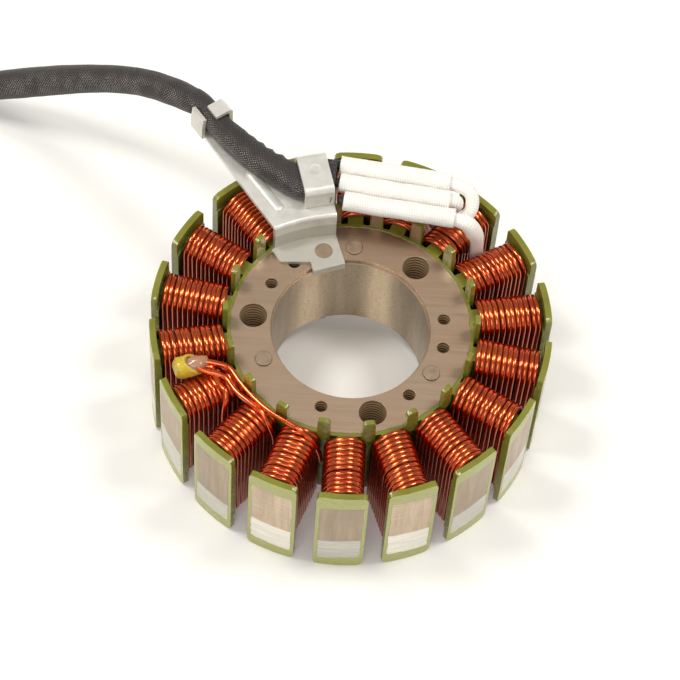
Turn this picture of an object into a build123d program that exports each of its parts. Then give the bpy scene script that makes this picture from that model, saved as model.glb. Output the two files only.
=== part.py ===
from build123d import *
from math import cos, degrees, hypot, pi, radians, sin, sqrt, tan
import os

# Stator of a motorcycle alternator: a ring of laminated steel with eighteen wound poles,
# a folded bracket on its face and the black loom that the bracket holds.
# Millimetres. The origin is on the bore's axis at half the height of the steel,
# +Z points up on the side of the leads, and one pole points along -Y.

# Laminated core
pole_count = 18
outer_dia = 105.0
yoke_dia = 64.6
bore_dia = 40.8
stack_height = 26.0
tooth_width = 4.2
shoe_width = 13.1
shoe_thick = 2.0
shoe_corner = 1.5

# Steel end plates, bent up at the pole tips and between the poles
plate_thick = 1.3
plate_bore_dia = 41.9
lip_thick = 1.7
lip_rise_upper = 4.2
lip_rise_lower = 5.0
tab_rise = 8.3
tab_width = 3.7
tab_taper = 0.25
tab_reach = 1.1
tab_corner = 0.9

# Holes through the yoke: three for the mounting screws, three rivets, six small ones
mount_hole_dia = 7.2
mount_circle_dia = 51.4
mount_angles = (50, 175, 285)
small_circle_dia = 49.4
small_hole_dia = 3.3
small_hole_angles = (10, 129.5, 150, 254.3, 310, 350)
rivet_angles = (90, 206, 330)
rivet_dia = 3.4
rivet_head_dia = 4.4
rivet_head_rise = 0.6

# Windings, one layered coil on each tooth
turns_seen = 12
coil_width = 11.0
coil_rise = 3.05
coil_corner = 2.9
coil_groove = 0.5
coil_start_gap = 1.1
coil_end_gap = 0.2
fit_gap = 0.15

# Folded bracket
sheet = 1.2
arm_height = 8.85
foot_hook_width = 8.8
foot_hook_drop = 1.2
hook_angle = 110
bracket_rivet_dia = 4.6
bracket_rivet_angle = 109.8
bracket_rivet_radius = 23.9
arm_angle = 127.5
arm_width = 7.8
arm_side = 1.9
arm_overhang = 18.8
bend_round = 1.1
strap_angle = 105
strap_width = 7.9
strap_length = 13.1
strap_gap_height = 5.7
strap_radius = 38.65
strap_polar = 107.3
bead_width = 3.2
bead_rise = 0.5
bead_length = 15.5
bead_start = 34.5
bead_side = 1.5
clip_mid = 1.6
clip_gap = 6.4
claw_thick = 1.1
claw_height = 7.6
left_claw_length = 5.3
right_claw_length = 4.4
right_claw_back = 2.9

# Insulation sleeves, leads and loom
sleeve_dia = 5.3
sleeve_starts = ((-3.6, 31.85), (-4.9, 37.5), (-4.9, 43.0))
sleeve_wall = 0.55
sleeve_length = 29.6
sleeve_turn = -6.8
sleeve_lift = 0.6
lead_sleeve_dia = 3.7
lead_in = 4.0
lead_slots = (40, 60, 60)
lead_depths = (8.1, 2.75, 7.6)
feed_wire_dia = 2.6
feed_wire_inside = 9.0
feed_wire_outside = 8.0
joint_length = 12.0
wire_dia = 1.4
loom_dia = 7.8
loom_seat_gap = 0.05
loom_bevel = 0.3
mouth_gap = 1.05

# Star point of the three windings
star_sleeve_dia = 5.4
star_sleeve_length = 7.6
star_sleeve_wall = 0.7
star_sleeve_cap = 1.6
star_angle = 201.4
star_shoe_gap = 3.9
star_lift = 0.6

# Rest of the loom, wound up beside the part, and its connector
coil_mean_radius = 39.0
coil_centre = (-157.0, 45.0)
outer_turn_arc = 322
inner_turn_start = 75
connector_ways = 3
connector_wire_dia = 2.2
housing_size = (20.0, 19.0, loom_dia)
housing_shift = (12.0, -10.0)
way_pitch = 5.6
way_width = 4.0
way_height = 5.5
way_depth = 16.0
latch_rise = 1.2
wire_spacing = 2.25
wire_shift = -0.45
wire_run = 8.6
blade_size = (13.0, 2.6, 0.8)

# Worked out from the sizes above
pitch_angle = 360 / pole_count
first_pole = -90
outer_r = outer_dia / 2
yoke_r = yoke_dia / 2
bore_r = bore_dia / 2
stack_half = stack_height / 2
face_z = stack_half + plate_thick
lip_bottom = -face_z - lip_rise_lower
tab_top = face_z + tab_rise
shoe_half_angle = degrees(shoe_width / 2 / outer_r)
shoe_inner_r = outer_r - shoe_thick
lip_inner_r = outer_r - lip_thick
tab_outer_r = yoke_r + tab_reach
coil_top = face_z + coil_rise
coil_inner_r = yoke_r + coil_start_gap
coil_half = coil_width / 2
coil_outer_r = sqrt(shoe_inner_r**2 - coil_half**2) - coil_end_gap
star_outer_radius = shoe_inner_r - star_shoe_gap
arm_top = face_z + arm_height + sheet
arm_under = arm_top - sheet
table_z = lip_bottom

os.makedirs("parts", exist_ok=True)
parts = {}


def polar(radius, angle):
    return (radius * cos(radians(angle)), radius * sin(radians(angle)))


def turned(along, across, angle):
    """Plan point that lies so far along a direction and to its left."""
    a = radians(angle)
    return (along * cos(a) - across * sin(a), along * sin(a) + across * cos(a))


def pole_angle(index):
    return first_pole + index * pitch_angle


def around(shape, angles):
    return [Rot(0, 0, a) * shape for a in angles]


def sector(inner, outer, half_angle):
    """Face between two arcs about the origin, centred on +X."""
    low_in, low_out = polar(inner, -half_angle), polar(outer, -half_angle)
    high_in, high_out = polar(inner, half_angle), polar(outer, half_angle)
    rim = [
        Line(low_in, low_out),
        ThreePointArc(low_out, (outer, 0), high_out),
        Line(high_out, high_in),
        ThreePointArc(high_in, (inner, 0), low_in),
    ]
    return make_face(rim)


def bent_tube(points, share, dia, sides=0):
    """Tube along straight runs joined by tangent arcs; the radii come from the runs."""
    spots = [Vector(*p) for p in points]
    radii = []
    for before, here, after in zip(spots, spots[1:], spots[2:]):
        turn = radians((here - before).get_angle(after - here))
        run = min((here - before).length, (after - here).length)
        radii.append(share * run / tan(turn / 2))
    path = FilletPolyline(*spots, radius=radii)
    start = Plane(origin=spots[0], z_dir=spots[1] - spots[0])
    section = RegularPolygon(dia / 2, sides) if sides else Circle(dia / 2)
    return sweep(start * section, path=path), path, radii


# Holes shared by the laminations and both end plates
pole_angles = [pole_angle(i) for i in range(pole_count)]
slot_angles = [a + pitch_angle / 2 for a in pole_angles]
mount_centres = [polar(mount_circle_dia / 2, a) for a in mount_angles]
small_centres = [polar(small_circle_dia / 2, a) for a in small_hole_angles]
rivet_centres = [polar(small_circle_dia / 2, a) for a in rivet_angles]
bracket_rivet_centre = polar(bracket_rivet_radius, bracket_rivet_angle)
holes = Sketch() + [Pos(*c) * Circle(mount_hole_dia / 2) for c in mount_centres]
holes += [Pos(*c) * Circle(small_hole_dia / 2) for c in small_centres]
holes += [Pos(*c) * Circle(rivet_dia / 2 + fit_gap / 3) for c in rivet_centres]
holes += Pos(*bracket_rivet_centre) * Circle(bracket_rivet_dia / 2 + fit_gap / 3)

# Lamination stack: yoke ring, teeth and curved pole shoes
tooth_length = shoe_inner_r + shoe_thick / 2 - yoke_r + 1
tooth = Pos(yoke_r - 1 + tooth_length / 2, 0) * Rectangle(tooth_length, tooth_width)
shoe = sector(shoe_inner_r, outer_r, shoe_half_angle)
lamination = Circle(yoke_r) + around(tooth, pole_angles) + around(shoe, pole_angles)
lamination -= Circle(bore_r)
lamination -= holes
parts["core_stack"] = extrude(lamination, stack_half, both=True)


def rounded_top(base_width, top_width, height, corner):
    """Upright outline whose two upper corners are rounded in two flats."""
    base, top, cut = base_width / 2, top_width / 2, corner * (1 - sqrt(0.5))
    right = [(base, 0), (top, height - corner), (top - cut, height - cut), (top - corner, height)]
    left = [(-x, y) for x, y in reversed(right)]
    return make_face(Polyline(*right, *left, close=True))


# End plate: the same outline in thicker sheet, with a lip bent up behind each pole's tip
def end_plate(lip_rise, with_tabs):
    arm_end = lip_inner_r + lip_thick / 2
    arm = Pos((yoke_r - 1 + arm_end) / 2, 0) * Rectangle(arm_end - yoke_r + 1, tooth_width)
    flat = Circle(yoke_r) + around(arm, pole_angles)
    flat -= Circle(plate_bore_dia / 2)
    flat -= holes
    plate = extrude(flat, plate_thick)
    height = plate_thick + lip_rise
    lip_blank = extrude(sector(lip_inner_r, outer_r, shoe_half_angle), height)
    front = rounded_top(shoe_width, shoe_width, height, shoe_corner)
    lip = lip_blank & extrude(Plane.YZ * front, outer_r)
    plate += around(lip, pole_angles)
    if with_tabs:
        leaf = rounded_top(tab_width, tab_width - 2 * tab_taper, plate_thick + tab_rise, tab_corner)
        tab = extrude(Plane.YZ.offset(tab_outer_r - plate_thick) * leaf, plate_thick)
        plate += around(tab, slot_angles)
    return plate


parts["end_plate_upper"] = Pos(0, 0, stack_half) * end_plate(lip_rise_upper, True)
lower_plate = mirror(end_plate(lip_rise_lower, False), about=Plane.XY)
parts["end_plate_lower"] = Pos(0, 0, -stack_half) * lower_plate


# One coil: four crossing prisms with a saw-tooth outline give every side its wire turns
def turn_outline(half):
    """Closed outline along the pole whose two edges step in and out once a turn."""
    step = (coil_outer_r - coil_inner_r) / turns_seen
    edge = [(coil_inner_r, half - coil_groove)]
    for i in range(turns_seen):
        edge.append((coil_inner_r + (i + 0.5) * step, half))
        edge.append((coil_inner_r + (i + 1) * step, half - coil_groove))
    back = [(x, -y) for x, y in reversed(edge)]
    return make_face(Polyline(*edge, *back, close=True))


corner_reach = (coil_half + coil_top - coil_corner) / sqrt(2)
coil = extrude(turn_outline(coil_half), coil_top + 1, both=True)
for tilt, half in ((90, coil_top), (45, corner_reach), (-45, corner_reach)):
    coil &= Rot(tilt, 0, 0) * extrude(turn_outline(half), 2 * coil_top, both=True)
window = Box(
    2 * outer_r,
    tooth_width + 2 * fit_gap,
    2 * (face_z + fit_gap),
)
coil -= window
for i, a in enumerate(pole_angles):
    parts[f"coil_{i + 1:02d}"] = Rot(0, 0, a) * coil

# Rivets that hold the stack together, with a flat head at each side
shank = Cylinder(rivet_dia / 2, 2 * face_z)
head = Cylinder(rivet_head_dia / 2, rivet_head_rise)
head_at = face_z + rivet_head_rise / 2
rivet = shank + Pos(0, 0, head_at) * head + Pos(0, 0, -head_at) * head
parts["stack_rivets"] = Compound([Pos(*c, 0) * rivet for c in rivet_centres])

# Bracket: foot on the ring's face, curved riser, arm across the coils
riser_ends = (polar(yoke_r - 1.4, 133), polar(yoke_r - 3.9, 100.4))
riser_mid = polar(yoke_r - 2.9, 118.9)
riser_line = ThreePointArc(riser_ends[0], riser_mid, riser_ends[1])
centre_of_bend = riser_line.arc_center
bend_r = riser_line.radius
out_ends = []
for end in (*riser_ends, riser_mid):
    ray = Vector(*end) - centre_of_bend
    out_ends.append(centre_of_bend + ray.normalized() * (bend_r + sheet))
out_left, out_right, out_mid = out_ends
outer_line = ThreePointArc(out_right, out_mid, out_left)
riser_face = make_face(
    [riser_line, Line(riser_ends[1], out_right), outer_line, Line(out_left, riser_ends[0])]
)
riser = Pos(0, 0, face_z) * extrude(riser_face, arm_height + sheet)

hook_out = sqrt(bore_r**2 - (foot_hook_width / 2) ** 2) - fit_gap
hook_in = hook_out - sheet
hook_frame = Rot(0, 0, hook_angle)
hook_left, hook_right = [turned(hook_in, s * foot_hook_width / 2, hook_angle) for s in (1, -1)]
foot_tip = polar(yoke_r - 1.3, 134.9)
foot_heel = polar(yoke_r - 5.5, 136.7)
foot_notch = polar(bore_r + 1.6, 121.2)
foot_edges = [
    Polyline(riser_ends[0], foot_tip, foot_heel, foot_notch, hook_left, hook_right, riser_ends[1]),
    riser_line,
]
foot_face = make_face(foot_edges)
rounded = [v for v in foot_face.vertices() if hypot(v.X - foot_heel[0], v.Y - foot_heel[1]) < 0.1]
foot_face = fillet(rounded, 1.0)
foot = Pos(0, 0, face_z) * extrude(foot_face + riser_face, sheet)
hook_height = sheet + foot_hook_drop
hook_lip = Pos(hook_in + sheet / 2, 0, face_z + sheet - hook_height / 2) * Box(
    sheet, foot_hook_width, hook_height
)
foot += hook_frame * hook_lip

arm_frame = Rot(0, 0, arm_angle)
arm_end = outer_r + arm_overhang


def on_arm(along, across):
    """Point of the plan from its distance along the arm and to the arm's right."""
    return turned(along, -across, arm_angle)


strap_at = polar(strap_radius, strap_polar)
strap_frame = Pos(*strap_at) * Rot(0, 0, strap_angle - 90)


def on_strap(across, along):
    x, y = turned(across, along, strap_angle - 90)
    return (strap_at[0] + x, strap_at[1] + y)


half_strap = strap_width / 2
arm_outline = Polyline(
    riser_ends[1],
    on_strap(half_strap, -strap_length / 2),
    on_strap(half_strap, strap_length / 2),
    on_strap(-half_strap, strap_length / 2),
    on_strap(-half_strap, strap_length / 6),
    on_arm(yoke_r + 9.5, arm_width - arm_side),
    on_arm(arm_end, arm_width - arm_side),
    on_arm(arm_end, -arm_side),
    riser_ends[0],
)
arm_face = make_face([arm_outline, riser_line])
arm = Pos(0, 0, arm_under) * extrude(arm_face + riser_face, sheet)

# Embossed bead that stiffens the arm, raised above and hollow below
bead_frame = arm_frame * Pos(bead_start + bead_length / 2, -bead_side)
bead_line = SlotOverall(bead_length, bead_width)
bead_top = Pos(0, 0, arm_top) * bead_frame * extrude(bead_line, bead_rise, taper=40)
bead_hollow = SlotOverall(bead_length - 1.2, bead_width - 1.2)
bead_under = Pos(0, 0, arm_under) * bead_frame * extrude(bead_hollow, bead_rise)

# Strap folded over the flattened loom
strap_top = arm_top + strap_gap_height + sheet
strap_height = strap_top - arm_under
strap_side = RectangleRounded(strap_length, strap_height, 2.0)
strap_inside = RectangleRounded(strap_length - 2 * sheet, strap_gap_height, 0.9)
strap_ring = extrude(strap_side - strap_inside, half_strap, both=True)
foot_of_strap = Pos(0, 0, -strap_height / 2 + sheet / 2) * Box(strap_width, strap_length, sheet)
strap_ring = Rot(0, 0, 90) * Rot(90, 0, 0) * strap_ring + foot_of_strap
strap = strap_frame * Pos(0, 0, arm_under + strap_height / 2) * strap_ring

# Two claws at the arm's end, crimped onto the loom
claw_top = arm_top + claw_height
left = clip_mid - clip_gap / 2
right = clip_mid + clip_gap / 2
left_claw_face = make_face(
    Polyline(
        (left - claw_thick, arm_under),
        (left - claw_thick, arm_top + 3),
        (left - 0.6, claw_top - 0.9),
        (left + 0.45, claw_top - 1.2),
        (left, arm_top + 2.8),
        (left, arm_top),
        (left + 1.6, arm_top),
        (left + 1.6, arm_under),
        close=True,
    )
)
right_claw_face = make_face(
    Polyline(
        (right - 1.8, arm_under),
        (right + claw_thick, arm_under),
        (right + claw_thick, claw_top),
        (right + 0.2, claw_top + claw_thick),
        (right - 4.1, claw_top + claw_thick),
        (right - 4.1, claw_top),
        (right - 0.3, claw_top),
        (right, claw_top - 0.4),
        (right, arm_top),
        (right - 1.8, arm_top),
        close=True,
    )
)
claw_plane = Plane(origin=(0, 0, 0), x_dir=(0, -1, 0), z_dir=(-1, 0, 0))
left_claw = Pos(arm_end, 0, 0) * extrude(claw_plane * left_claw_face, left_claw_length)
right_claw = Pos(arm_end - right_claw_back, 0, 0) * extrude(
    claw_plane * right_claw_face, right_claw_length
)

bracket = riser + foot + arm + bead_top + strap + arm_frame * left_claw + arm_frame * right_claw
bracket -= bead_under
bracket -= Pos(*bracket_rivet_centre, face_z) * Cylinder(
    bracket_rivet_dia / 2 + fit_gap / 3, 3 * sheet
)
bend_edges = []
for e in bracket.edges().filter_by(GeomType.CIRCLE):
    if abs(e.radius - bend_r) < 0.01 and abs(e.center().Z - arm_top) < 0.01:
        bend_edges.append(e)
bracket = fillet(bend_edges, bend_round)
parts["bracket"] = bracket

# Flush rivet through the foot and the stack
rivet_top = face_z + sheet
rivet_length = rivet_top + face_z
bracket_shank = Pos(0, 0, rivet_top - rivet_length / 2) * Cylinder(
    bracket_rivet_dia / 2, rivet_length
)
bracket_head = Pos(0, 0, -head_at) * Cylinder(bracket_rivet_dia / 2 + 0.6, rivet_head_rise)
parts["bracket_rivet"] = Pos(*bracket_rivet_centre, 0) * (bracket_shank + bracket_head)

# Where the loom's flat mouth ends, just outside the strap
mouth_plane = Plane(
    origin=(*on_strap(half_strap + mouth_gap, -0.5), 0),
    z_dir=(cos(radians(strap_angle - 90)), sin(radians(strap_angle - 90)), 0),
)

# Three insulating sleeves over the joints between the windings and the loom
sleeve_z = tab_top + sleeve_dia / 2 + sleeve_lift
sleeve_ends = [Vector(*start, sleeve_z) for start in sleeve_starts]
sleeve_dir = Vector(cos(radians(sleeve_turn)), sin(radians(sleeve_turn)), 0)
sleeve_ring = Circle(sleeve_dia / 2) - Circle(sleeve_dia / 2 - sleeve_wall)
for i, end in enumerate(sleeve_ends):
    seat = Plane(origin=end, z_dir=sleeve_dir)
    parts[f"splice_sleeve_{i + 1}"] = extrude(seat * sleeve_ring, sleeve_length)
    # The loom's own wire starts at its mouth and meets the winding's joint inside the sleeve
    feed_seat = seat.offset(-feed_wire_outside)
    feed = extrude(feed_seat * Circle(feed_wire_dia / 2), feed_wire_outside + feed_wire_inside)
    parts[f"feed_wire_{i + 1}"] = split(feed, bisect_by=mouth_plane, keep=Keep.TOP)
    joint_seat = seat.offset(feed_wire_inside)
    joint = extrude(joint_seat * Circle(feed_wire_dia / 2 - fit_gap), joint_length)
    parts[f"splice_joint_{i + 1}"] = joint

# Thin sleeves that carry the winding ends over the edge and down into the slots.
# The first bends are measured from the sleeve's mouth; the rest stand in the slot, each
# with its distance inward, its turn from the slot's middle and its drop from the mouth.
lead_routes = [
    (
        [(2.4, -0.3, -0.1), (5.2, -0.9, -3.6)],
        [(0, 0, -9.4), (0, 0, -17)],
    ),
    (
        [(1.8, -0.2, 0), (2.4, 1.9, -4.4)],
        [(1.56, -3, -8), (0, 0, -11.6), (0, 0, -16)],
    ),
    (
        [(2.7, -0.4, 0), (6.2, -2.4, -1.4), (5.9, -6.6, -4.6), (1.7, -7.4, -6.1), (-2.4, -4.4, -7.2)],
        [(0, 0, -12), (0, 0, -17)],
    ),
]
for i, (end, (bends, slot_points)) in enumerate(zip(sleeve_ends, lead_routes)):
    mouth = end + sleeve_dir * sleeve_length
    points = [mouth - sleeve_dir * lead_in, *[mouth + Vector(*step) for step in bends]]
    slot_r = lip_inner_r - lead_depths[i]
    for inward, turn, drop in slot_points:
        points.append(Vector(*polar(slot_r - inward, lead_slots[i] + turn), mouth.Z + drop))
    lead, _, lead_radii = bent_tube(points, 0.45, lead_sleeve_dia, 8)
    parts[f"lead_sleeve_{i + 1}"] = lead
    print("lead radii", [round(r, 1) for r in lead_radii])

# Loom where the bracket holds it: flat under the strap, round along the arm.
# Each section is its plan point, its direction in plan, its width and its height.
loom_low = arm_top + loom_seat_gap
back = strap_angle + 90
loom_sections = [
    (on_strap(half_strap + mouth_gap, -0.5), back, 14.6, 4.6),
    (on_strap(half_strap, -0.1), back, 10.2, 5.1),
    (on_strap(0, 0.1), back, 9.6, 5.5),
    (on_strap(-half_strap, 0.2), back - 6, 8.8, 5.6),
    ((-20.4, 38.5), 166, 8.2, 6.3),
    ((-26.9, 42.4), 148, 7.3, 6.9),
    ((-33.6, 48.0), 137, 7.0, 7.1),
    (on_arm(arm_end - 7.6, clip_mid + 0.2), arm_angle, 6.0, 7.2),
    (on_arm(arm_end - 0.3, clip_mid + 0.2), arm_angle, 5.8, 7.3),
]
faces = []
for spot, heading, wide, high in loom_sections:
    seat = Plane(
        origin=(*spot, loom_low + high / 2),
        x_dir=(sin(radians(heading)), -cos(radians(heading)), 0),
        z_dir=(cos(radians(heading)), sin(radians(heading)), 0),
    )
    section = Rectangle(wide, high)
    faces.append(seat * chamfer(section.vertices(), loom_bevel * min(wide, high)))

# Free stretch of the loom, from the claws down to the table and on to the coil
loom_r = loom_dia / 2
rest_z = table_z + loom_r + loom_seat_gap
outer_turn_r = coil_mean_radius + loom_r
loom_route = [
    Vector(*on_arm(arm_end + 1.6, clip_mid - 0.1), 27.9),
    Vector(-49.3, 63.6, 25.4),
    Vector(-60.3, 70.8, 20.0),
    Vector(-73.8, 77.0, 11.6),
    Vector(-87.5, 82.0, 2.0),
    Vector(-101.5, 85.6, -6.8),
    Vector(-114.8, 87.6, -12.9),
    Vector(-128.6, 88.5, rest_z),
    Vector(-142.6, coil_centre[1] + outer_turn_r, rest_z),
    Vector(coil_centre[0], coil_centre[1] + outer_turn_r, rest_z),
]
loom, loom_path, loom_radii = bent_tube(loom_route, 0.45, loom_dia)
parts["loom"] = loom
print("loom radii", [round(r, 1) for r in loom_radii])
print("loom volume / (section x length)", round(loom.volume / (pi * loom_r**2 * loom_path.length), 4))
print("loom length", round(loom_path.length, 1))

leave_dir = loom_route[1] - loom_route[0]
leave_seat = Plane(
    origin=loom_route[0],
    x_dir=(leave_dir.Y, -leave_dir.X, 0),
    z_dir=leave_dir,
)
leave_size = (5.9, 7.2)
leave_face = Rectangle(*leave_size)
faces.append(leave_seat * chamfer(leave_face.vertices(), loom_bevel * leave_size[0]))
parts["loom_held"] = loft(faces, ruled=True)

# Star point: a closed sleeve over the slot with three winding ends in it
star_z = coil_top + star_lift
star_in = polar(star_outer_radius - star_sleeve_length, star_angle)
star_dir = Vector(*polar(1, star_angle), 0)
star_seat = Plane(origin=(*star_in, star_z), x_dir=(-star_dir.Y, star_dir.X, 0), z_dir=star_dir)
star = extrude(star_seat * Circle(star_sleeve_dia / 2), star_sleeve_length)
star = chamfer(star.edges().filter_by(GeomType.CIRCLE).sort_by(Axis.X)[0], star_sleeve_cap / 2)
star_bore = Circle(star_sleeve_dia / 2 - star_sleeve_wall)
star -= extrude(star_seat * star_bore, star_sleeve_length - star_sleeve_cap)
parts["star_sleeve"] = star

# The three winding ends: across the coils from the star sleeve and down into their slots.
# Each starts to one side of the sleeve's axis. Its first points are measured inward from
# the sleeve's mouth and the next outward from the yoke's edge, each with its angle and
# its height over a wire that lies on the coils.
star_inside = star_sleeve_length / 2
star_mouth_r = star_outer_radius - star_sleeve_length
over = coil_top + wire_dia / 2 + fit_gap
star_wires = [
    (
        (-0.75, -0.4),
        [(2.1, 200.3, -0.25)],
        [(2.4, 208.9, 0.1), (2.4, 224.2, 0), (3.6, 246, 0), (5.1, 259.2, 0)],
        (3.9, 260),
    ),
    (
        (0.0, 0.9),
        [(1.8, 201.5, 1.1), (1.2, 207.7, 1.35)],
        [(4.7, 218, 0.2), (4.1, 231.2, 0.1), (4.5, 238.8, -0.4)],
        (4.3, 240),
    ),
    (
        (0.75, -0.4),
        [(1.2, 202.6, -0.6), (0.7, 205.7, -0.1)],
        [(7.2, 210.1, 0), (8.4, 217.2, -0.1)],
        (9.1, 220),
    ),
]
star_drops = (-6.5, -10.9)
for i, ((side, rise), at_mouth, across_coils, (depth, slot)) in enumerate(star_wires):
    seat = star_seat.offset(star_inside)
    route = [seat.origin + seat.x_dir * side + Vector(0, 0, rise)]
    route += [Vector(*polar(star_mouth_r - r, a), over + z) for r, a, z in at_mouth]
    route += [Vector(*polar(yoke_r + r, a), over + z) for r, a, z in across_coils]
    route += [Vector(*polar(yoke_r + depth, slot), over + drop) for drop in star_drops]
    wire, _, _ = bent_tube(route, 0.45, wire_dia, 6)
    parts[f"star_wire_{i + 1}"] = wire


# The rest of the loom lies in a flat coil of two turns, one closed solid
def turn_ring(inner, outer, arc):
    """Arc of a ring with a bevelled section that starts on the +X side."""
    section = Pos((inner + outer) / 2, 0) * Rectangle(outer - inner, loom_dia)
    section = chamfer(section.vertices(), loom_bevel * loom_dia)
    return revolve(Plane.XZ * section, Axis.Z, arc)


inner_turn_r = coil_mean_radius - loom_r - fit_gap
outer_turn = turn_ring(coil_mean_radius - fit_gap, outer_turn_r + loom_r, outer_turn_arc)
inner_turn = turn_ring(inner_turn_r - loom_r, coil_mean_radius - fit_gap / 2, 360 - inner_turn_start)
wound = Rot(0, 0, 90) * outer_turn + Rot(0, 0, inner_turn_start) * inner_turn
parts["loom_coil"] = Pos(*coil_centre, rest_z) * wound

# Connector inside the coil: housing, a blade in each way and the three wires from the loom
length, width, height = housing_size
housing = Box(length, width, height)
housing = chamfer(housing.edges().filter_by(Axis.X), 0.8)
way_sides = [(i - (connector_ways - 1) / 2) * way_pitch for i in range(connector_ways)]
wire_hole = connector_wire_dia / 2 + 2 * fit_gap
for side in way_sides:
    housing -= Pos((way_depth - length) / 2, side, 0) * Box(way_depth, way_width, way_height)
    housing -= Pos(length / 2, side, 0) * Cylinder(wire_hole, length / 2, rotation=(0, 90, 0))
latch = Pos(-length / 4, 0, height / 2) * Box(length / 3, way_width, 2 * latch_rise)
housing += latch
housing_at = Pos(coil_centre[0] + housing_shift[0], coil_centre[1] + housing_shift[1], rest_z)
parts["connector_housing"] = housing_at * Rot(0, 0, 90) * housing
blade_end = way_depth - length / 2 + 1
blades = []
for side in way_sides:
    blades.append(Pos(blade_end - blade_size[0] / 2, side, 0) * Box(*blade_size))
parts["connector_terminals"] = housing_at * Rot(0, 0, 90) * Compound(blades)

slope = tan(pi / 6)
for i, side in enumerate(way_sides):
    out = (1 - i) * wire_spacing
    from_x = coil_centre[0] + inner_turn_r + wire_shift + out
    to_x = coil_centre[0] + housing_shift[0] + side
    first_y = coil_centre[1] + wire_run + out * slope
    last_y = coil_centre[1] + wire_run - side * slope
    top_x = (from_x + to_x + (first_y - last_y) / slope) / 2
    points = [
        (from_x, coil_centre[1], rest_z),
        (from_x, first_y, rest_z),
        (top_x, first_y + (from_x - top_x) * slope, rest_z),
        (to_x, last_y, rest_z),
        (to_x, coil_centre[1] + housing_shift[1] + blade_end, rest_z),
    ]
    wire, _, wire_radii = bent_tube(points, 0.45, connector_wire_dia, 8)
    parts[f"connector_wire_{i + 1}"] = wire
    print("connector wire radii", [round(r, 1) for r in wire_radii])

for name, shape in parts.items():
    export_step(shape, f"parts/{name}.step")
print(len(parts), "parts")
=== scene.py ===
import math
from functools import partial

import bmesh
import bpy
from mathutils import Matrix, Vector, noise


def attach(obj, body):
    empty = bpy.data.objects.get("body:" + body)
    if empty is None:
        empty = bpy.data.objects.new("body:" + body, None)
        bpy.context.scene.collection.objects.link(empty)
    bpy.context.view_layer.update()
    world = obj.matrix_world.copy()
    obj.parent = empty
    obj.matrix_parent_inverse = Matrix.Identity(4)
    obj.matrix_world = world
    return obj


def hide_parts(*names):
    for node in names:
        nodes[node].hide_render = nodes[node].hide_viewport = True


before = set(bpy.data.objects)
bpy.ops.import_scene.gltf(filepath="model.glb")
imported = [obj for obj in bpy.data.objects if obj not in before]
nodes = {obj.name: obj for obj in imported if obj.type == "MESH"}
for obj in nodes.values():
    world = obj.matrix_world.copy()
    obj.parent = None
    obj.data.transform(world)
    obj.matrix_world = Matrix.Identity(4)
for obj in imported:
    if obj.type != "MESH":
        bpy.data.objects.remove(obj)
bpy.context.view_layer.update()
mm = 0.001
asColour = {"out": 2, "data_type": "RGBA"}  # settings of a Mix node that mixes tints


# Small helpers

def linear(hexText):
    channels = [int(hexText[i:i + 2], 16) / 255 for i in (1, 3, 5)]
    return [c / 12.92 if c <= 0.04045 else ((c + 0.055) / 1.055) ** 2.4 for c in channels] + [1.0]


def put(tree, kind, inputs=(), out=0, **settings):
    # adds one node, named by its kind or as kind:OPERATION, sets and links its inputs by name
    # or in their order (None leaves one alone, a tint may be in hex), and gives back an output
    kind, _, operation = kind.partition(":")
    made = tree.nodes.new(kind if "Node" in kind else "ShaderNode" + kind)
    if operation:
        made.operation = operation
    for key, value in settings.items():
        setattr(made, key, value)
    for key, value in inputs.items() if isinstance(inputs, dict) else enumerate(inputs):
        if isinstance(value, bpy.types.NodeSocket):
            tree.links.new(value, made.inputs[key])
        elif value is not None:
            isHex = isinstance(value, str) and value.startswith("#")
            made.inputs[key].default_value = linear(value) if isHex else value
    return made.outputs[out] if len(made.outputs) else made


def newMaterial(name):
    made = bpy.data.materials.new(name)
    made.use_nodes = True
    made.node_tree.nodes.clear()
    return made, partial(put, made.node_tree)


def inMillimetres(add):
    return add("VectorMath:SCALE", {0: add("TexCoord", out="Object"), 3: 1000.0})


def stretchedNoise(add, place, stretch, detail, rough=0.5):
    spread = add("VectorMath:MULTIPLY", [place, stretch])
    return add("TexNoise", [spread, None, 1.0, detail, rough])


def finished(made, add, sockets):
    # closes a material with its surface
    add("OutputMaterial", {"Surface": add("BsdfPrincipled", sockets)})
    return made


def shades(add, pattern, low, high, first, second, most=1.0):
    # from the first tint to the second as the pattern goes from low to high
    amount = add("MapRange", [pattern, low, high, 0.0, most])
    return add("Mix", {0: amount, 6: first, 7: second}, **asColour)


def plainMaterial(name, scale, detail, tints, rough, relief, sockets):
    # one noise, in millimetres, moves tint, roughness and surface together; rough is a range,
    # relief a bump's strength and distance, or None
    made, add = newMaterial(name)
    grain = add("TexNoise", [inMillimetres(add), None, scale, detail])
    tint = add("Mix", {0: grain, 6: tints[0], 7: tints[-1]}, **asColour)
    roughness = add("MapRange", [grain, 0.3, 0.7, *rough])
    if relief:
        strength, distance = relief
        bump = add("Bump", {"Strength": strength, "Distance": distance, "Height": grain})
        sockets = {"Normal": bump, **sockets}
    return finished(made, add, {"Base Color": tint, "Roughness": roughness, **sockets})


def polar(radius, angle, z=0.0):
    turn = math.radians(angle)
    return Vector((radius * math.cos(turn), radius * math.sin(turn), z))


def coat(piece, material):
    piece.data.materials.clear()
    piece.data.materials.append(material)


def dress(piece, material, slotName, *nodeNames):
    # gives a finished piece its material and its body, and hides the CAD nodes it stands for
    coat(piece, material)
    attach(piece, "root")
    if nodeNames:
        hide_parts(*nodeNames)
    return piece


def show(name, mesh):
    made = bpy.data.objects.new(name, mesh)
    bpy.context.scene.collection.objects.link(made)
    return made


def showMesh(name, bm):
    mesh = bpy.data.meshes.new(name)
    bm.to_mesh(mesh)
    bm.free()
    return show(name, mesh)


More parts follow.
